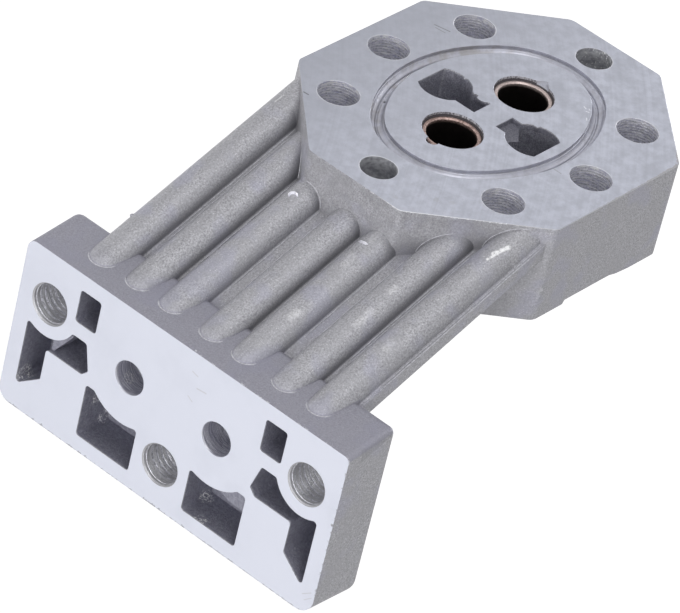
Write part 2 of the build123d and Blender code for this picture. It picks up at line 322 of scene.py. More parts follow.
# How far edges are rounded and creases darkened with painted shade, in mm, and how many rays feel for
# them
EDGE_RADIUS = 0.22
CREASE_SHADE_REACH = 5.0
SHADER_SAMPLES = 4

# How metallic the bushes are, and cut or worn aluminium's dark and light shade, and how metallic;
# the nicks' light shades are a painted highlight
BUSH_METALLIC = 0.6
BARE_SHADES = {
    "cut_thread": (0.42, 0.84, 0.6),
    "flash_line": (0.44, 0.70, 0.25),
    "nick_highlight": (0.80, 0.92, 0.5),
}

# Clusters of painted glints in the cores and ports: centre and radius, in mm
GLINT_FLECKS = (
    ((-94.6, 43.6, -62.1), 3.2),
    ((-93.5, 15.8, -45.8), 2.0),
    ((-92.1, 24.3, -57.6), 2.2),
    ((-88.4, 24.3, -64.1), 2.4),
    ((-89.5, -8.5, -65.5), 2.6),
    ((-96.4, -13.3, -65.6), 2.0),
    ((-95.5, -27.5, -52.5), 2.5),
)

# Bright rubs on ribs and walls, partly wear and partly painted highlights along rounded edges: start,
# end and width in mm, and strength
RUBS_AND_HIGHLIGHTS = (
    ((-38.9, -33.0, -5.1), (-36.2, -33.6, -4.2), 0.45, 1.0),
    ((-37.0, -33.0, -4.3), (-33.2, -34.2, -3.4), 0.75, 1.0),
    ((-22.7, -39.0, -16.8), (-23.7, -39.0, -22.0), 0.9, 0.25),
    ((-70.8, -33.0, -16.4), (-68.8, -32.6, -15.6), 1.3, 0.26),
    ((-35.3, 33.9, -3.7), (-32.9, 33.7, -2.8), 0.35, 0.5),
    ((-51.0, -9.9, -9.2), (-48.6, -9.7, -8.4), 1.3, 0.26),
    ((-59.5, -10.0, -12.2), (-56.5, -9.8, -11.2), 1.4, 0.26),
    ((-77.3, -11.2, -18.6), (-75.3, -11.5, -18.0), 1.4, 0.35),
    ((-58.6, -23.0, -12.1), (-57.2, -23.0, -11.6), 1.2, 0.28),
    ((-69.5, -23.4, -16.2), (-65.0, -23.4, -14.6), 1.4, 0.28),
    ((4.97, 17.4, -0.6), (4.93, 17.49, -4.4), 0.35, 0.25),
    ((4.93, 17.49, -4.4), (5.19, 17.11, -7.5), 0.45, 0.2),
)

# Fine scratches on the octagon and on the foot: start, end and width in mm, and shade
HEAD_SCRATCHES = (
    ((17.0, 30.6, 0.0), (17.9, 26.7, 0.0), 0.26, 0.20),
    ((16.2, 29.7, 0.0), (16.5, 27.0, 0.0), 0.20, 0.26),
    ((-4.7, -23.2, 0.0), (-4.7, -25.4, 0.0), 0.2, 0.35),
    ((-31.5, 29.5, 0.0), (-31.4, 28.3, 0.0), 0.32, 0.12),
    ((21.5, -11.3, 0.0), (21.2, -12.1, 0.0), 0.22, 0.95),
    ((20.4, -12.8, 0.0), (20.6, -13.5, 0.0), 0.22, 0.90),
    ((18.3, -14.6, 0.0), (17.6, -15.2, 0.0), 0.22, 0.92),
    ((21.8, -12.6, 0.0), (21.5, -13.1, 0.0), 0.2, 0.88),
)
FOOT_SCRATCHES = (
    ((-97.3, -3.0, -30.2), (-97.3, -4.6, -30.6), 0.22, 0.56),
    ((-97.3, -5.1, -33.6), (-97.3, -7.7, -33.3), 0.25, 0.54),
    ((-97.3, -3.2, -36.8), (-97.3, -4.6, -37.6), 0.2, 0.56),
    ((-97.3, -44.5, -65.0), (-97.3, -46.6, -63.4), 0.18, 0.52),
    ((-97.3, -45.3, -66.2), (-97.3, -47.0, -64.6), 0.16, 0.54),
)

# Small spots: centre and radius in mm, shade and strength
SPOTS = (
    ((-15.8, 17.8, -1.9), 0.5, 0.03, 1.0),
    ((-96.8, -2.3, -25.3), 0.4, 0.95, 1.0),
    ((-97.2, -47.5, -43.5), 0.5, 0.25, 1.0),
    ((39.0, 4.4, -1.2), 0.4, 0.9, 1.0),
    ((43.8, -0.7, -0.6), 0.35, 0.9, 1.0),
    ((-35.4, -18.4, 0.0), 0.9, 0.40, 0.3),
    ((-37.7, -15.5, 0.0), 1.0, 0.39, 0.3),
    ((-44.9, -9.5, 0.0), 0.8, 0.40, 0.3),
)


def feed(node, inputs):
    """Set a node's inputs to values, or link them to sockets. A colour needs no alpha."""
    for key, value in inputs.items():
        socket = node.inputs[key]
        if isinstance(value, bpy.types.NodeSocket):
            node.id_data.links.new(value, socket)
        elif socket.type == "RGBA":
            socket.default_value = (*value, 1.0)
        else:
            socket.default_value = value


def make_node(tree, kind, inputs=None, **settings):
    """A new node with its settings and inputs."""
    made = tree.nodes.new(kind)
    for key, value in settings.items():
        setattr(made, key, value)
    feed(made, inputs or {})
    return made


def derived(kind, inputs, **settings):
    """A new node in the node tree that the sockets among its inputs belong to."""
    sockets = [value for value in inputs.values() if isinstance(value, bpy.types.NodeSocket)]
    return make_node(sockets[0].id_data, kind, inputs, **settings)


def calc(operation, *values, clamp=False):
    """A Math node's result."""
    inputs = dict(enumerate(values))
    return derived("ShaderNodeMath", inputs, operation=operation, use_clamp=clamp).outputs[0]


def on_vectors(operation, *values):
    """A Vector Math node's outputs."""
    inputs = dict(enumerate(values))
    return derived("ShaderNodeVectorMath", inputs, operation=operation).outputs


def scaled(vector, factor):
    """A vector times a number."""
    return derived("ShaderNodeVectorMath", {0: vector, 3: factor}, operation="SCALE").outputs[0]


def ramp(value, start, end, low=0.0, high=1.0, smooth=True):
    """value mapped from the range start to end onto low to high, and held there outside it."""
    inputs = {"Value": value, "From Min": start, "From Max": end, "To Min": low, "To Max": high}
    kind = "SMOOTHSTEP" if smooth else "LINEAR"
    made = derived("ShaderNodeMapRange", inputs, interpolation_type=kind, clamp=True)
    return made.outputs["Result"]


def faded(value, name, smooth=True):
    """value mapped by the row of FADES with that name."""
    return ramp(value, *FADES[name], smooth=smooth)


def mix(share, first, second):
    """Two colours mixed by share."""
    inputs = {0: share, 6: first, 7: second}
    return derived("ShaderNodeMix", inputs, data_type="RGBA").outputs[2]


def mix_value(share, first, second):
    """Two numbers mixed by share."""
    inputs = {0: share, 2: first, 3: second}
    return derived("ShaderNodeMix", inputs, data_type="FLOAT").outputs[0]


def tinted(colour, share, name):
    """The colour with a tone laid over it by share."""
    return mix(share, colour, TONES[name])


def shaded(share, name):
    """A colour between the dark and the light one of that name."""
    return mix(share, *SHADES[name])


def grey(shade, blue):
    """A grey whose blue is raised by a factor."""
    return (shade, shade, blue * shade)


def noise(place, name):
    """The noise with that name, from 0 to 1."""
    size, detail, roughness = NOISES[name]
    inputs = {"Vector": place, "Scale": 1 / size, "Detail": detail, "Roughness": roughness}
    return derived("ShaderNodeTexNoise", inputs).outputs["Fac"]


def patches(place, name):
    """Soft patches, by the noise and the fade with that name."""
    return faded(noise(place, name), name)


def stretched(place, name):
    """The place scaled along each axis by the row of that name, for noise in streaks."""
    return on_vectors("MULTIPLY", place, STRETCHES[name])[0]


def split(vector):
    """The three parts of a vector."""
    return derived("ShaderNodeSeparateXYZ", {0: vector}).outputs


def join(x, y, z):
    """A vector of three numbers."""
    return derived("ShaderNodeCombineXYZ", {0: x, 1: y, 2: z}).outputs[0]


def distance(place, centre):
    """Distance of the place from a centre, both in mm."""
    return on_vectors("DISTANCE", place, centre)["Value"]


def above(value, limit):
    """1 where the value lies above the limit, else 0."""
    return calc("GREATER_THAN", value, limit)


def below(value, limit):
    """1 where the value lies below the limit, else 0."""
    return calc("LESS_THAN", value, limit)


def both(first, *others):
    """The product of several masks."""
    for other in others:
        first = calc("MULTIPLY", first, other)
    return first


def either(first, *others):
    """The highest of several values."""
    for other in others:
        first = calc("MAXIMUM", first, other)
    return first


def between(value, low, high):
    """1 where the value lies between low and high, else 0."""
    return both(above(value, low), below(value, high))


def streak(place, start, end, width):
    """1 along the line from start to end in mm, falling to 0 at its width, as a fine scratch."""
    start, end = Vector(start), Vector(end)
    along = end - start
    offset = on_vectors("SUBTRACT", place, start)[0]
    dot = on_vectors("DOT_PRODUCT", offset, along)["Value"]
    share = calc("MULTIPLY", dot, 1 / along.length_squared, clamp=True)
    return ramp(distance(offset, scaled(along, share)), width, STREAK_CORE * width)


def oval(x, y, half_axes):
    """Below 1 inside an ellipse about the origin, above 1 outside it."""
    first = calc("POWER", calc("MULTIPLY", x, 1 / half_axes[0]), 2.0)
    second = calc("POWER", calc("MULTIPLY", y, 1 / half_axes[1]), 2.0)
    return calc("ADD", first, second)


def empty_tree(owner):
    """The node tree of a material or world, cleared."""
    owner.use_nodes = True
    owner.node_tree.nodes.clear()
    return owner.node_tree


def new_material(name):
    """A node material, with its shader and the object's own coordinates in mm."""
    material = bpy.data.materials.new(name)
    tree = empty_tree(material)
    shader = make_node(tree, "ShaderNodeBsdfPrincipled")
    make_node(tree, "ShaderNodeOutputMaterial", {"Surface": shader.outputs[0]})
    metres = make_node(tree, "ShaderNodeTexCoord").outputs["Object"]
    return material, shader, scaled(metres, 1 / MM)


def finish_shader(shader, colour, rough, metal, height, relief, **more):
    """Feed a shader with its colour and shine, and with the relief of a height."""
    strength, depth = relief
    bump = {"Height": height, "Strength": strength, "Distance": depth * MM, **more}
    normal = derived("ShaderNodeBump", bump).outputs[0]
    feed(shader, {"Base Color": colour, "Roughness": rough, "Metallic": metal, "Normal": normal})


def casting_regions(place):
    """Coordinates, distances from holes and masks of the casting's regions, by place in mm."""
    x, y, z = split(place)
    side_x, side_y = calc("ABSOLUTE", x), calc("ABSOLUTE", y)
    found = {
        "x": x, "y": y, "z": z,
        "facing_y": split(make_node(place.id_data, "ShaderNodeTexCoord").outputs["Normal"])[1],
        "above_web": calc("SUBTRACT", z, calc("MULTIPLY_ADD", x, WEB_SLOPE, WEB_Z)),
        "above_foot": calc("SUBTRACT", z, calc("MULTIPLY_ADD", x, FOOT_TOP_SLOPE, FOOT_TOP_Z)),
        "head": above(z, -SLACK),
        "foot": below(x, FOOT_FACE_X + SLACK),
    }

    # Seal groove, between two ellipses that clear its walls
    found["groove"] = both(
        above(oval(x, y, GROOVE_INSIDE), 1.0), below(oval(x, y, GROOVE_OUTSIDE), 1.0),
        between(z, GROOVE_FLOOR_Z - SLACK, -SLACK)
    )

    # Distances from the axes of the screws, dowels, shafts and oil ports
    on_head = join(side_x, side_y, 0.0)
    on_foot = join(0.0, side_y, z)
    corner = distance(on_head, (*CORNER_SCREW, 0.0))
    side = distance(on_head, (*SIDE_SCREW, 0.0))
    outer = distance(on_foot, (0.0, *OUTER_FOOT_SCREW))
    middle = distance(on_foot, (0.0, *MIDDLE_FOOT_SCREW))
    found["from_head_screw"] = calc("MINIMUM", corner, side)
    found["from_dowel"] = distance(on_head, (*DOWEL, 0.0))
    found["from_shaft"] = distance(on_head, (GEAR_X, 0.0, 0.0))
    found["from_foot_screw"] = calc("MINIMUM", outer, middle)
    found["from_port"] = distance(on_foot, (0.0, *PORT))

    # The walls of those holes
    in_head = between(z, HEAD_HOLES_END_Z, -SLACK)
    in_plate = between(x, FOOT_FACE_X + SLACK, FOOT_BACK_X)
    for name, radius, depth in (
        ("head_screw", SCREW_RADIUS, in_head),
        ("dowel", DOWEL_RADIUS, in_head),
        ("shaft", MOUTH_RADIUS + NOTCH_REACH, in_head),
        ("foot_screw", SCREW_RADIUS + WALL_SLACK, in_plate),
        ("port", PORT_RADIUS + WALL_SLACK, in_plate),
    ):
        near = below(found["from_" + name], radius + WALL_SLACK)
        found[name] = both(near, depth)
    past_mouth = above(found["from_shaft"], MOUTH_RADIUS + WALL_SLACK)
    found["pointed_notch"] = both(found["shaft"], past_mouth, above(x, 0.0))

    # Pockets of the head with the suction pocket's shallow slot, and cores of the foot
    found["pocket"] = both(
        below(side_x, POCKET_HALF_WIDTH), below(side_y, POCKET_END_Y), in_head, faded(z, "pocket_edge")
    )
    found["slot"] = both(found["pocket"], above(z, SLOT_FLOOR_Z), below(y, 0.0))
    found["core"] = both(
        faded(x, "core_edge"), below(x, CORES_END_X),
        below(side_y, CORES_HALF_WIDTH), between(z, *CORES_Z)
    )
    found["pit"] = either(found["pocket"], found["core"])
    found["cut"] = either(found["head"], found["foot"], found["groove"])
    found["bored"] = either(found["head_screw"], found["foot_screw"], found["port"])

    # How far past the octagon's rim, below 0 inside it
    diagonal = math.sqrt(0.5)
    slant = calc("MULTIPLY", calc("ADD", side_x, side_y), diagonal)
    found["past_rim"] = either(
        calc("SUBTRACT", slant, HEAD_CORNER_REACH * diagonal),
        calc("SUBTRACT", side_x, HEAD_HALF_LENGTH), calc("SUBTRACT", side_y, HEAD_HALF_WIDTH)
    )
    return found


def skin_colour(place, found):
    """Blasted cast skin: fine grain, slow changes of tone, painted glints, and painted shade in the
    creases.
    """
    grain = noise(place, "grain")
    colour = shaded(faded(grain, "grain", smooth=False), "skin")
    # Slow patches of tone, and fine painted glints over the skin
    for name in ("cloud", "stain", "skin_glint"):
        colour = tinted(colour, patches(place, name), name)

    # The foot's top is a little darker and bluer, and so are the ribs' tips; the ribs' right flanks are
    # darkened with painted shade
    foot_top = both(
        below(found["x"], FOOT_BACK_X), between(found["above_foot"], *FOOT_TOP_BAND), FOOT_TOP_SHARE
    )
    colour = tinted(colour, foot_top, "foot_top")
    on_tip = between(found["above_foot"], *RIB_TIP_BAND)
    colour = tinted(colour, both(faded(found["x"], "rib_tip"), on_tip), "rib_tip")
    # Painted shade on the ribs' right flanks, which face -y
    flank = both(
        between(found["x"], *RIBS_X), between(found["above_web"], *RIB_BAND),
        faded(found["facing_y"], "rib_flank_shade", smooth=False)
    )
    colour = tinted(colour, flank, "rib_flank_shade")

    # Painted shade: the colour darkens in creases, by how little of the surround a point sees
    inputs = {"Distance": CREASE_SHADE_REACH * MM}
    occlusion = make_node(place.id_data, "ShaderNodeAmbientOcclusion", inputs, samples=SHADER_SAMPLES)
    open_sky = faded(occlusion.outputs["AO"], "open_sky", smooth=False)
    return mix(open_sky, TONES["crease_shade"], colour), grain


def wall_colour(place, found, colour):
    """The octagon's walls towards the foot, darker in patches, and painted shade on the ribs where they
    round off against them.
    """
    x, past_rim = found["x"], found["past_rim"]
    wall = both(between(past_rim, *WALL_BAND), faded(x, "wall_x"), patches(place, "wall"))
    colour = tinted(colour, wall, "wall")
    # Painted shade on the right side of the ribs' ends next to the walls
    rib_end_shade = both(
        between(found["above_web"], *RIB_END_SHADE_BAND), faded(past_rim, "rib_end_shade"),
        faded(found["facing_y"], "rib_end_shade_turn"), below(x, RIBS_X[1]), above(past_rim, OFF_WALL)
    )
    return tinted(colour, rib_end_shade, "rib_end_shade")


def rim_colour(place, found, colour):
    """Nicks and wear along the rim of the octagon and the upper rim of the foot's face, and a painted
    highlight line along the octagon's near edge.
    """
    x, y, z = found["x"], found["y"], found["z"]
    wear = both(patches(place, "wear"), both(faded(x, "wear_x"), faded(y, "wear_y")))
    # A thin painted highlight along the octagon's near edge, joined to its wear
    line = both(between(z, -RIM_HIGHLIGHT_DEPTH, -SLACK), faded(x, "rim_highlight_x"), faded(y, "rim_highlight_y"))
    wear = either(wear, line)
    on_rim = both(above(found["past_rim"], -RIM_REACH), between(z, -RIM_DEPTH, -SLACK))
    colour = tinted(colour, both(on_rim, wear), "rim_wear_and_highlight")
    foot_edge = both(
        between(x, FOOT_FACE_X + SLACK, FOOT_FACE_X + FOOT_RIM_DEPTH),
        above(z, FOOT_RIM_Z), faded(wear, "foot_wear")
    )
    return tinted(colour, foot_edge, "foot_nick")


def pit_colour(place, found, colour):
    """Walls of the cored pockets and cores, darker, partly from their rough cast tone and partly as
    painted shade of the recesses, rougher and streaked along the pull.
    """
    rough = noise(place, "pit")
    # The darker pit shades are partly the cores' rough cast tone and partly painted shade of the
    # recesses
    pit = shaded(faded(rough, "pit"), "pit")
    pit = tinted(pit, patches(stretched(place, "drag"), "drag"), "drag")
    pit = tinted(pit, patches(place, "pit_fleck"), "pit_fleck")
    # Painted glints speckled over the pockets' walls
    pocket_glint = both(patches(place, "pocket_glint"), found["pocket"])
    pit = tinted(pit, pocket_glint, "pocket_glint")
    # Painted shade: the suction pocket is darker
    suction_side_shade = both(found["pocket"], faded(found["y"], "suction_side_shade"))
    pit = tinted(pit, suction_side_shade, "suction_side_shade")
    colour = mix(found["pit"], colour, pit)
    # Painted shade in the suction pocket's shallow slot
    return tinted(colour, both(found["slot"], SLOT_SHADE_SHARE), "slot"), rough


def bored_colour(place, name):
    """A drilled or tapped wall: short strokes of the tool round the hole, and a slow mottle."""
    strokes, mottle = noise(place, "strokes"), noise(place, "mottle")
    return shaded(faded(mix_value(STROKES_SHARE, mottle, strokes), "bored"), name)


def hole_colour(place, found, colour):
    """Walls of the ports, screw holes and dowel holes."""
    x, y, z = found["x"], found["y"], found["z"]
    round_port = join(
        calc("MULTIPLY", found["from_port"], PORT_RINGS), calc("MULTIPLY", y, PORT_STRETCH),
        calc("MULTIPLY_ADD", z, PORT_STRETCH, calc("MULTIPLY", x, PORT_TURNS))
    )
    holes = {"port": bored_colour(round_port, "port")}
    for name in ("foot_screw", "head_screw", "dowel"):
        holes[name] = bored_colour(stretched(place, name), name)
    fleck = both(patches(place, "dowel_fleck"), faded(x, "dowel_fleck_x"))
    for name, share, tone in (
        ("foot_screw", faded(x, "foot_mouth"), "foot_mouth"),
        ("head_screw", patches(place, "chatter"), "white"),
        ("dowel", fleck, "white"),
    ):
        holes[name] = tinted(holes[name], share, tone)
    for name, hole in holes.items():
        colour = mix(found[name], colour, hole)
    return colour


def mouth_colour(place, found, colour):
    """Mouths above the bushes, with dark ticks and a painted shadow just above the bush, and the light
    slope of the pointed notch.
    """
    ticks = patches(stretched(place, "ticks"), "ticks")
    mouth = shaded(ticks, "mouth")
    # Painted shadow on the mouth's wall just above the bush
    mouth = tinted(mouth, faded(found["z"], "mouth_contact_shadow"), "mouth_contact_shadow")
    colour = mix(found["shaft"], colour, mouth)
    return tinted(colour, found["pointed_notch"], "notch")


def scratched(place, colour, scratches):
    """The colour of a milled face with its fine scratches."""
    for start, end, width, shade in scratches:
        mark = both(streak(place, start, end, width), SCRATCH_SHARE)
        colour = mix(mark, colour, grey(shade, BARE_BLUE))
    return colour


def head_colour(place, found, haze, smear):
    """The milled octagon: faint turning arcs, haze and smears, painted shade towards its far side,
    lighter round the holes.
    """
    x, y = found["x"], found["y"]
    far = distance(place, ARCS_CENTRE)
    arcs = noise(join(far, 0.0, 0.0), "arcs")
    swirl = mix_value(ARCS_SHARE, haze, arcs)
    colour = shaded(faded(swirl, "swirl"), "head")
    colour = tinted(colour, faded(smear, "head_smear"), "head_smear")
    # Painted shade, darker towards the octagon's far side
    colour = tinted(colour, faded(y, "head_far_shade", smooth=False), "head_far_shade")
    from_screw = calc("SUBTRACT", found["from_head_screw"], SCREW_RADIUS)
    from_dowel = calc("SUBTRACT", found["from_dowel"], DOWEL_RADIUS)
    near_hole = faded(calc("MINIMUM", from_screw, from_dowel), "burr")
    colour = tinted(colour, both(near_hole, faded(smear, "burr_smear")), "burr")
    colour = scratched(place, colour, HEAD_SCRATCHES)

    # Chips along the rim on the right
    reach = noise(place, "head_chips")
    uneven = calc("MULTIPLY_ADD", reach, HEAD_CHIPS_REACH, found["past_rim"])
    uneven = calc("ADD", uneven, faded(x, "deeper_chips"))
    chips = both(faded(uneven, "head_chips"), faded(x, "head_chips_x"), faded(y, "head_chips_y"))
    return tinted(colour, chips, "head_chips"), swirl


def groove_colour(place, found, haze):
    """The seal groove: fine turns along it, and a brown stain on its left."""
    across = calc("SQRT", oval(found["x"], found["y"], GROOVE_MIDDLE))
    across = calc("MULTIPLY", across, GROOVE_TURNS)
    turns = noise(join(across, 0.0, 0.0), "groove_turns")
    turns = mix_value(GROOVE_TURNS_SHARE, haze, turns)
    colour = shaded(faded(turns, "groove"), "groove")
    brown = both(faded(found["y"], "brown_y"), patches(place, "brown"))
    return tinted(colour, brown, "brown")


def foot_colour(place, found, smear):
    """The milled face of the foot: smears, scratches, and chips along two of its edges."""
    colour = tinted(TONES["foot_clean"], faded(smear, "foot_smear"), "foot_smear")
    colour = scratched(place, colour, FOOT_SCRATCHES)
    from_side = calc("ADD", found["y"], FOOT_HALF_WIDTH)
    from_bottom = calc("SUBTRACT", found["z"], FOOT_BOTTOM_Z)
    inward = calc("MINIMUM", from_side, from_bottom)
    reach = noise(place, "foot_chips")
    uneven = calc("MULTIPLY_ADD", reach, -FOOT_CHIPS_REACH, inward)
    return tinted(colour, faded(uneven, "foot_chips"), "foot_chips")


def marked(place, found, colour, grain):
    """The colour with spots, painted glints in cores and ports, and rubs and painted highlights, with
    their own mask.
    """
    ragged = noise(place, "ragged")
    for centre, radius, shade, strength in SPOTS:
        away = distance(place, centre)
        uneven = calc("MULTIPLY_ADD", ragged, SPOT_UNEVEN * radius, away)
        spot = ramp(uneven, SPOT_EDGE[0] * radius, SPOT_EDGE[1] * radius, 0.0, strength)
        colour = mix(spot, colour, grey(shade, SPOT_BLUE))

    # Clusters of painted glints in the cores and ports
    cluster = 0.0
    for centre, radius in GLINT_FLECKS:
        near = ramp(distance(place, centre), radius, CLUSTER_CORE * radius)
        cluster = either(cluster, near)
    in_hole = either(found["pit"], found["port"])
    glint_flecks = both(cluster, patches(place, "glint_flecks"), in_hole)
    colour = tinted(colour, glint_flecks, "white")

    # Bright rubs, partly wear on the ribs and partly painted highlights along rounded edges
    rub_and_highlight = 0.0
    for start, end, width, strength in RUBS_AND_HIGHLIGHTS:
        rub_and_highlight = either(rub_and_highlight, both(streak(place, start, end, width), strength))
    rub_and_highlight = both(rub_and_highlight, faded(grain, "rub_grain"), faded(ragged, "rub_ragged"))
    return tinted(colour, rub_and_highlight, "rub_and_highlight"), rub_and_highlight


def shine(found, skin, bored, cut):
    """A number that differs between the skin, the bored walls and the cut faces."""
    return mix_value(found["cut"], mix_value(found["bored"], skin, bored), cut)


def cast_material():
    """Die-cast aluminium, blasted all over, then cut on its two faces and in its holes."""
    material, shader, place = new_material("cast_aluminium")
    found = casting_regions(place)
    haze, smear = noise(place, "haze"), noise(place, "smear")
    colour, grain = skin_colour(place, found)
    colour = wall_colour(place, found, colour)
    colour = rim_colour(place, found, colour)
    colour, pit_grain = pit_colour(place, found, colour)
    colour = hole_colour(place, found, colour)
    colour = mouth_colour(place, found, colour)
    head, swirl = head_colour(place, found, haze, smear)
    colour = mix(found["groove"], colour, groove_colour(place, found, haze))
    colour = mix(found["head"], colour, head)
    colour = mix(found["foot"], colour, foot_colour(place, found, smear))
    colour, rub_and_highlight = marked(place, found, colour, grain)

    # Shine: dull skin, satin cuts, dull pits
    rough = mix_value(rub_and_highlight, shine(found, *ROUGHNESS), RUB_AND_HIGHLIGHT_ROUGHNESS)
    pit_metal = mix_value(found["bored"], *PIT_METALLIC)
    metal = mix_value(found["pit"], shine(found, *METALLIC), pit_metal)

    # Relief: grain of the skin, coarse walls of the pits, almost none on the cut faces
    inputs = {"Radius": EDGE_RADIUS * MM}
    rounded = make_node(place.id_data, "ShaderNodeBevel", inputs, samples=SHADER_SAMPLES).outputs[0]
    height = calc("ADD", grain, both(found["pit"], PIT_RELIEF, pit_grain))
    height = mix_value(found["cut"], height, both(swirl, CUT_RELIEF))
    finish_shader(shader, colour, rough, metal, height, CAST_RELIEF, Normal=rounded)
    return material


def bush_material():
    """Copper-coloured bearing metal, with painted shade down in the bore and a painted highlight on the
    outer bush's rim.
    """
    material, shader, place = new_material("bush_bronze")
    x, _, z = split(place)
    grain = noise(place, "bush")
    rim = shaded(faded(grain, "bush"), "bush")
    # Painted highlight: the outer bush's rim is paler
    rim = tinted(rim, faded(x, "bush_rim_highlight"), "bush_rim_highlight")
    # Painted shade: almost black down in the bore
    colour = mix(faded(z, "bush_rim"), shaded(grain, "bore_shade"), rim)
    finish_shader(shader, colour, faded(grain, "uneven_shine"), BUSH_METALLIC, grain, BUSH_RELIEF)
    return material


def bare_material(name):
    """Cut or worn aluminium, uneven between two tones, with chatter along it."""
    material, shader, place = new_material(name)
    dark, light, metallic = BARE_SHADES[name]
    grain = noise(place, "bare")
    colour = mix(faded(grain, "bare"), grey(dark, BARE_BLUE), grey(light, BARE_BLUE))
    finish_shader(shader, colour, faded(grain, "uneven_shine"), metallic, grain, BARE_RELIEF)
    return material


def new_piece(name, points, faces, material, smooth=False):
    """A mesh piece of the casting, from points in mm, that rides on its one body."""
    mesh = bpy.data.meshes.new(name)
    mesh.from_pydata([tuple(MM * Vector(point)) for point in points], [], faces)
    mesh.validate()
    mesh.materials.append(material)
    for polygon in mesh.polygons:
        polygon.use_smooth = smooth
    piece = bpy.data.objects.new(name, mesh)
    bpy.context.scene.collection.objects.link(piece)
    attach(piece, "root")


def tube_faces(sections, size, closed=False, flip=False):
    """Faces of a tube of cross-sections with size points each, with end caps unless closed."""
    faces = []
    for section in range(sections if closed else sections - 1):
        near, far = section * size, (section + 1) % sections * size
        for edge in range(size):
            after = (edge + 1) % size
            if flip:
                faces.append((near + edge, far + edge, far + after, near + after))
            else:
                faces.append((near + edge, near + after, far + after, far + edge))
    if not closed:
        start = tuple(range(size))
        end = tuple(range((sections - 1) * size, sections * size))
        faces += [start, end[::-1]] if flip else [start[::-1], end]
    return faces


def spread(first, last, steps):
    """Evenly spaced values from first to last."""
    return [first + (last - first) * step / steps for step in range(steps + 1)]


# Threads, in mm: axis and side of the hole, the angle from one hole's turns to the next one's
# in radians, how far apart the turns are, where they start and how long they run, their
# cross-section as place along and rise, and each hole's radius to the crests
HEAD_THREAD = {
    "name": "head_thread_%d",
    "axis": (0, 0, 1),
    "side": (1, 0, 0),
    "phase": 1.1,
    "pitch": 0.75,
    "start": 0.475,
    "length": 14.0,
    "profile": ((-0.3, 0), (-0.1, 1), (0.1, 1), (0.3, 0)),
    "crests": (4.96,) * 6,
}
FOOT_THREAD = {
    "name": "foot_thread_%d",
    "axis": (-1, 0, 0),
    "side": (0, -1, 0),
    "phase": 2.0,
    "pitch": 1.5,
    "start": 1.85,
    "length": 13.0,
    "profile": ((-0.25, 0), (-0.08, 1), (0.08, 1), (0.25, 0)),
    "crests": (4.915, 4.965, 4.935),
}
THREAD_ROOT = 5.03
TURN_STEPS = 40

# Over how many turns a thread runs out at its ends, and how thin it gets there
RUN_OUT = 0.4
THIN_END = 0.15

# Fine ring at the end of a foot screw hole's mouth: depths and radii of its cross-section, in mm
MOUTH_RING = ((1.08, THREAD_ROOT), (1.16, 4.9), (1.24, 4.9), (1.32, THREAD_ROOT))


def thread(index, origin, shape, material):
    """A helical ridge on the wall of a tapped hole, from near its mouth down along -axis."""
    axis, side = Vector(shape["axis"]), Vector(shape["side"])
    up = axis.cross(side)
    steps = round(shape["length"] / shape["pitch"] * TURN_STEPS)
    height = THREAD_ROOT - shape["crests"][index]
    points = []
    for step in range(steps + 1):
        turn = step / TURN_STEPS
        angle = 2 * math.pi * turn + shape["phase"] * index
        fade = min(1.0, turn / RUN_OUT, (steps - step) / TURN_STEPS / RUN_OUT)
        out = math.cos(angle) * side + math.sin(angle) * up
        for along, rise in shape["profile"]:
            radius = THREAD_ROOT - height * rise * fade
            depth = shape["start"] + shape["pitch"] * (turn + along * max(fade, THIN_END))
            points.append(Vector(origin) + out * radius - axis * depth)
    faces = tube_faces(steps + 1, len(shape["profile"]))
    new_piece(shape["name"] % (index + 1), points, faces, material)


def mouth_ring(index, origin, material):
    """The fine raised line round a foot screw hole where its mouth ends."""
    points = []
    for angle in spread(0.0, 2 * math.pi, TURN_STEPS)[:-1]:
        for depth, radius in MOUTH_RING:
            around = Vector((depth, radius * math.cos(angle), radius * math.sin(angle)))
            points.append(Vector(origin) + around)
    faces = tube_faces(TURN_STEPS, len(MOUTH_RING), closed=True, flip=True)
    new_piece("foot_mouth_ring_%d" % (index + 1), points, faces, material)


def add_threads(material):
    """Thread turns of the six screw holes of the head and the three of the foot."""
    x, y = CORNER_SCREW
    side_x, side_y = SIDE_SCREW
    head_screws = ((x, y), (-x, y), (-x, -y), (x, -y), (side_x, side_y), (side_x, -side_y))
    for index, screw in enumerate(head_screws):
        thread(index, (*screw, 0), HEAD_THREAD, material)
    y, z = OUTER_FOOT_SCREW
    for index, screw in enumerate(((y, z), (-y, z), MIDDLE_FOOT_SCREW)):
        origin = (FOOT_FACE_X, *screw)
        thread(index, origin, FOOT_THREAD, material)
        mouth_ring(index, origin, material)


# Ragged edges of the pockets, in mm on the octagon: where the metal ends that stands into them
RAGGED_EDGES = {
    "pressure_neck_chip": (
        (3.1, 1.95), (2.9, 2.1), (2.9, 2.7), (2.3, 3.2), (2.0, 4.0), (2.0, 5.0), (2.15, 5.4), (3.1, 5.7)
    ),
    "pressure_shoulder_chip": ((3.1, 6.5), (2.8, 6.7), (3.0, 7.1), (3.3, 7.4), (3.5, 7.7)),
    "pressure_side_burr": (
        (6.2, 11.4), (6.15, 11.8), (5.5, 12.0), (5.6, 12.3), (6.2, 12.4), (6.3, 13.2), (6.3, 14.2),
        (5.9, 14.6), (6.1, 14.8), (5.8, 15.1), (6.1, 15.3)
    ),
    "suction_side_burr": ((5.15, -9.3), (5.0, -9.8), (5.2, -10.1), (4.9, -10.4), (5.7, -10.7)),
}
RAGGED_DEPTH = 1.5
RAGGED_UNDERCUT = 0.6
POCKET_RADIUS = 6.5
POCKET_MIDDLE_Y = 13.2
POCKET_NECK = 3.15


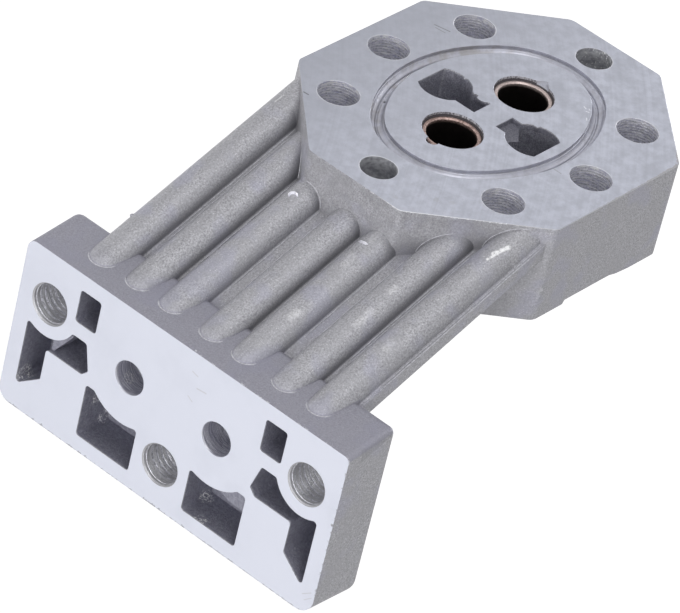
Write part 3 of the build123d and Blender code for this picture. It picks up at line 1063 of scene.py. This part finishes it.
def pocket_wall(y):
    """How far the wall of a pocket stands from the middle line at the given y."""
    squared = POCKET_RADIUS**2 - (abs(y) - POCKET_MIDDLE_Y) ** 2
    return max(POCKET_NECK, math.sqrt(max(squared, 0.0))) + SLACK


def add_ragged_edges(material):
    """Metal that the cutter left standing along the pockets, sloping back to the wall below."""
    for name, edge in RAGGED_EDGES.items():
        points = []
        for x, y in edge:
            wall = pocket_wall(y)
            lower = x + (wall - x) * RAGGED_UNDERCUT
            points += [(x, y, 0.0), (wall, y, 0.0), (wall, y, -RAGGED_DEPTH), (lower, y, -RAGGED_DEPTH)]
        new_piece(name, points, tube_faces(len(edge), 4, flip=True), material)


# Cross-section of a ridge, as parts of its half width and height, and its size at its ends
RIDGE_PROFILE = ((-1.0, -0.6), (-0.45, 1.0), (0.45, 1.0), (1.0, -0.6))
RIDGE_END = 0.25

# Thin flash lines that the die left: half width and height in mm, and those round the ribs' tips
FLASH_SIZE = (0.13, 0.08)
TIP_SIZE = (0.24, 0.07)

# Lines along the ribs' roots: where they run on the web, in y, where they start, in x, how far
# before the octagon they end, and how they waver
WEB_LINES = (27.42, 26.62, 16.75, 6.86, 4.38, -5.45, -15.02, -17.26, -26.9, -27.48, -37.1, -37.66)
WEB_LINE_START_X = -75.0
WEB_LINE_GAP = 0.6
WEB_LINE_STEPS = 12
WAVER = 0.06
WAVER_RATE = 1.7

# Lines round the ribs' ends at the octagon: the rib, and from where to where round it in
# degrees from its right root, with how far outside the rib they run
END_LINES = ((1, 0, 60), (2, 5, 100), (5, 80, 175), (6, 60, 178))
END_LINE_GAP = 0.35
END_LINE_STEPS = 16

# Lines round the ribs' tips: from where to where in degrees, and how far outside the tip
TIP_ANGLES = (-75, 60)
TIP_LINE_GAP = 0.12
TIP_LINE_STEPS = 10


def web_z(x):
    """Height of the web between the ribs at the given x."""
    return WEB_SLOPE * x + WEB_Z


def head_wall(y):
    """Where the octagon's walls towards the foot stand at the given y, and the way out."""
    if abs(y) < HEAD_CORNER_REACH - HEAD_HALF_LENGTH:
        return -HEAD_HALF_LENGTH, (-1.0, 0.0, 0.0)
    return abs(y) - HEAD_CORNER_REACH, (-1.0, math.copysign(1.0, y), 0.0)


def ridge(name, path, size, material):
    """A low ridge along a path of points and outward directions in mm, with pointed ends."""
    half_width, height = size
    last = len(path) - 1
    points = []
    for step, (place, outward) in enumerate(path):
        outward = Vector(outward).normalized()
        ahead = Vector(path[min(step + 1, last)][0]) - Vector(path[max(step - 1, 0)][0])
        sideways = ahead.cross(outward).normalized()
        part = RIDGE_END if step in (0, last) else 1.0
        for across, rise in RIDGE_PROFILE:
            offset = sideways * (across * part * half_width)
            points.append(Vector(place) + offset + outward * (rise * part * height))
    new_piece(name, points, tube_faces(last + 1, len(RIDGE_PROFILE)), material)


def add_web_lines(material):
    """Flash lines along the roots of the ribs."""
    upward = (-WEB_SLOPE, 0.0, 1.0)
    for index, y in enumerate(WEB_LINES):
        path = []
        end = head_wall(y)[0] - WEB_LINE_GAP
        for step, x in enumerate(spread(WEB_LINE_START_X, end, WEB_LINE_STEPS)):
            waver = WAVER * math.sin(WAVER_RATE * step + index)
            path.append(((x, y + waver, web_z(x)), upward))
        ridge("web_line_%d" % (index + 1), path, FLASH_SIZE, material)


def add_rib_end_lines(material):
    """Flash lines round the ends of some ribs at the octagon."""
    lean = math.hypot(1.0, WEB_SLOPE)
    for index, (rib, first, last) in enumerate(END_LINES):
        rib_y, radius = RIBS[rib]
        radius += END_LINE_GAP
        path = []
        for degrees in spread(first, last, END_LINE_STEPS):
            angle = math.radians(degrees)
            y = rib_y - radius * math.cos(angle)
            x, outward = head_wall(y)
            path.append(((x, y, web_z(x) + radius * math.sin(angle) * lean), outward))
        ridge("rib_end_line_%d" % (index + 1), path, FLASH_SIZE, material)


def add_rib_tip_lines(material):
    """Flash lines where the ribs' round ends stand on the sloping top of the foot."""
    end_x, end_z = RIB_END
    level = FOOT_TOP_SLOPE * end_x + FOOT_TOP_Z
    tilt = math.atan(FOOT_TOP_SLOPE)
    rise = (level - end_z) * math.cos(tilt)
    for index, (rib_y, radius) in enumerate(RIBS):
        reach = math.sqrt(radius**2 - rise**2) + TIP_LINE_GAP
        path = []
        for degrees in spread(*TIP_ANGLES, TIP_LINE_STEPS):
            angle = math.radians(degrees)
            forward = reach * math.cos(angle)
            x = end_x - rise * math.sin(tilt) - forward * math.cos(tilt)
            z = end_z + rise * math.cos(tilt) - forward * math.sin(tilt)
            path.append(((x, rib_y + reach * math.sin(angle), z), (-FOOT_TOP_SLOPE, 0.0, 1.0)))
        ridge("rib_tip_line_%d" % (index + 1), path, TIP_SIZE, material)


# Small raised marks on ribs: the rib, half the width and the height in mm, whether they take
# the pale metal that paints their highlight, and their places in x and y
NICKS = {
    "rib_crescent": (
        2, (0.36, 0.42), True,
        ((-53.3, 12.5), (-52.8, 12.8), (-52.2, 12.7), (-51.8, 12.2), (-51.8, 11.5), (-52.1, 10.9))
    ),
    "rib_bar": (
        4, (0.30, 0.40), True,
        ((-52.1, -7.6), (-52.3, -8.4), (-52.4, -9.1), (-52.4, -9.7), (-52.3, -10.3))
    ),
    "rib_flash": (0, (0.35, 0.35), False, ((-77.9, 36.1), (-77.6, 36.2), (-77.3, 36.1), (-77.0, 36.1))),
}


def on_rib(rib, x, y):
    """The point of a rib's surface above x and y, and the way out from it."""
    rib_y, radius = RIBS[rib]
    rise = math.sqrt(radius**2 - (y - rib_y) ** 2)
    lean = math.hypot(1.0, WEB_SLOPE)
    return (x, y, web_z(x) + rise * lean), (-WEB_SLOPE / lean * rise, y - rib_y, rise / lean)


def add_nicks(bright, dull):
    """The crescent and bar on two ribs, pale for a painted highlight, and the flash on the left one."""
    for name, (rib, size, shines, places) in NICKS.items():
        path = [on_rib(rib, x, y) for x, y in places]
        ridge(name, path, size, bright if shines else dull)


# Cross-section of the seal groove's rounded floor: places across from its middle, and heights,
# in mm
GROOVE_PROFILE = (
    (-1.66, -0.75), (-1.45, -1.28), (-1.1, -1.68), (-0.7, -1.9), (-0.3, -1.97),
    (0.3, -1.97), (0.7, -1.9), (1.1, -1.68), (1.45, -1.28), (1.66, -0.75),
    (1.66, -1.99), (-1.66, -1.99),
)
GROOVE_STEPS = 24


def add_groove_floor(material):
    """The cutter's rounded corners along the oval of the groove, as one closed ring."""
    rise = GROOVE_HALF_HEIGHT - GROOVE_END_RADIUS
    side_centre = (GEAR_X**2 - rise**2) / (2 * rise)
    end_angle = math.atan2(side_centre, GEAR_X)
    end_radius = GROOVE_END_RADIUS - GROOVE_WIDTH / 2
    side_radius = GROOVE_HALF_HEIGHT + side_centre - GROOVE_WIDTH / 2
    arcs = (
        (GEAR_X, 0.0, end_radius, -end_angle, end_angle),
        (0.0, -side_centre, side_radius, end_angle, math.pi - end_angle),
        (-GEAR_X, 0.0, end_radius, math.pi - end_angle, math.pi + end_angle),
        (0.0, side_centre, side_radius, math.pi + end_angle, 2 * math.pi - end_angle),
    )
    points = []
    for centre_x, centre_y, radius, first, last in arcs:
        for angle in spread(first, last, GROOVE_STEPS)[:-1]:
            for across, height in GROOVE_PROFILE:
                x = GROOVE_PLACE[0] + centre_x + (radius + across) * math.cos(angle)
                y = GROOVE_PLACE[1] + centre_y + (radius + across) * math.sin(angle)
                points.append((x, y, height))
    faces = tube_faces(len(arcs) * GROOVE_STEPS, len(GROOVE_PROFILE), closed=True, flip=True)
    new_piece("groove_floor", points, faces, material, smooth=True)


def add_camera():
    """The camera, at the place and angle that the photograph was taken from."""
    data = bpy.data.cameras.new("camera")
    data.sensor_width = SENSOR_WIDTH
    data.lens = FOCAL_PIXELS / IMAGE_WIDTH * SENSOR_WIDTH
    data.clip_start, data.clip_end = CAMERA_CLIP
    camera = bpy.data.objects.new("camera", data)
    rotation = Matrix((CAMERA_RIGHT, CAMERA_UP, CAMERA_BACK)).transposed()
    camera.matrix_world = Matrix.Translation(CAMERA_PLACE) @ rotation.to_4x4()
    bpy.context.scene.collection.objects.link(camera)
    bpy.context.scene.camera = camera


# Soft lamps: where each stands in metres and its power in watts, their width in metres, and
# the point that they all face
LAMPS = {
    "front_lamp": ((-1.30, 0.0, 0.08), 6.9),
    "right_lamp": ((-0.33, -0.56, 1.10), 3.8),
    "camera_side_lamp": ((-0.92, -0.92, 0.08), 2.7),
    "top_lamp": ((0.02, 0.0, 1.27), 1.6),
    "back_lamp": ((1.30, 0.0, 0.08), 6.0),
    "left_lamp": ((0.0, 1.30, 0.08), 3.0),
}
LAMP_WIDTH = 0.7
LAMP_AIM = (-0.02, 0.0, -0.03)


def add_lamps():
    """Round soft lamps that face the object."""
    for name, (place, power) in LAMPS.items():
        data = bpy.data.lights.new(name, "AREA")
        data.shape = "DISK"
        data.size = LAMP_WIDTH
        data.energy = power
        lamp = bpy.data.objects.new(name, data)
        towards = Vector(LAMP_AIM) - Vector(place)
        lamp.rotation_mode = "QUATERNION"
        lamp.rotation_quaternion = towards.to_track_quat("-Z", "Y")
        lamp.location = place
        bpy.context.scene.collection.objects.link(lamp)


# Strength of the surround for what falls on the object and for the eye, and the floor's paint
# and glow, how far it lies below the object, and half its width, in metres
SKY_LIGHT = 0.15
SKY_SEEN = 1.0
FLOOR_PAINT = 0.5
FLOOR_GLOW = 0.78
FLOOR_DROP = 0.25
FLOOR_HALF = 3.0


def seen_directly(tree):
    """1 for rays from the camera and for mirror-like and see-through rays, else 0."""
    path = make_node(tree, "ShaderNodeLightPath").outputs
    return either(path["Is Camera Ray"], path["Is Glossy Ray"], path["Is Transmission Ray"])


def add_world():
    """A white surround to the eye and in reflections, and a dim even light otherwise."""
    world = bpy.data.worlds.new("surround")
    bpy.context.scene.world = world
    tree = empty_tree(world)
    strength = mix_value(seen_directly(tree), SKY_LIGHT, SKY_SEEN)
    back = make_node(tree, "ShaderNodeBackground", {"Color": TONES["white"], "Strength": strength})
    make_node(tree, "ShaderNodeOutputWorld", {"Surface": back.outputs[0]})


def add_floor():
    """A plain pale floor under the object, white to the eye except in the object's shadow."""
    level = cad_low[2] - FLOOR_DROP
    corners = [(x * FLOOR_HALF, y * FLOOR_HALF, level) for x, y in ((-1, -1), (1, -1), (1, 1), (-1, 1))]
    mesh = bpy.data.meshes.new("floor")
    mesh.from_pydata(corners, [], [(0, 1, 2, 3)])
    material = bpy.data.materials.new("floor")
    tree = empty_tree(material)
    paint = make_node(tree, "ShaderNodeBsdfDiffuse", {"Color": grey(FLOOR_PAINT, 1.0)})
    strength = both(seen_directly(tree), FLOOR_GLOW)
    glow = make_node(tree, "ShaderNodeEmission", {"Color": TONES["white"], "Strength": strength})
    surface = make_node(tree, "ShaderNodeAddShader", {0: paint.outputs[0], 1: glow.outputs[0]})
    make_node(tree, "ShaderNodeOutputMaterial", {"Surface": surface.outputs[0]})
    mesh.materials.append(material)
    floor = bpy.data.objects.new("floor", mesh)
    bpy.context.scene.collection.objects.link(floor)


bpy.context.scene.view_settings.view_transform = "Standard"
add_camera()
add_world()
add_floor()
add_lamps()

cast_finish = cast_material()
bush_finish = bush_material()
finishes = {
    "bracket_casting": cast_finish,
    "inner_shaft_bush": bush_finish,
    "outer_shaft_bush": bush_finish,
}
for node_name, finish in finishes.items():
    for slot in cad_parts[node_name].material_slots:
        slot.material = finish

add_threads(bare_material("cut_thread"))
add_ragged_edges(cast_finish)
flash_finish = bare_material("flash_line")
add_web_lines(flash_finish)
add_rib_end_lines(flash_finish)
add_rib_tip_lines(flash_finish)
# The crescent and bar are pale metal, a painted highlight
add_nicks(bare_material("nick_highlight"), cast_finish)
add_groove_floor(cast_finish)
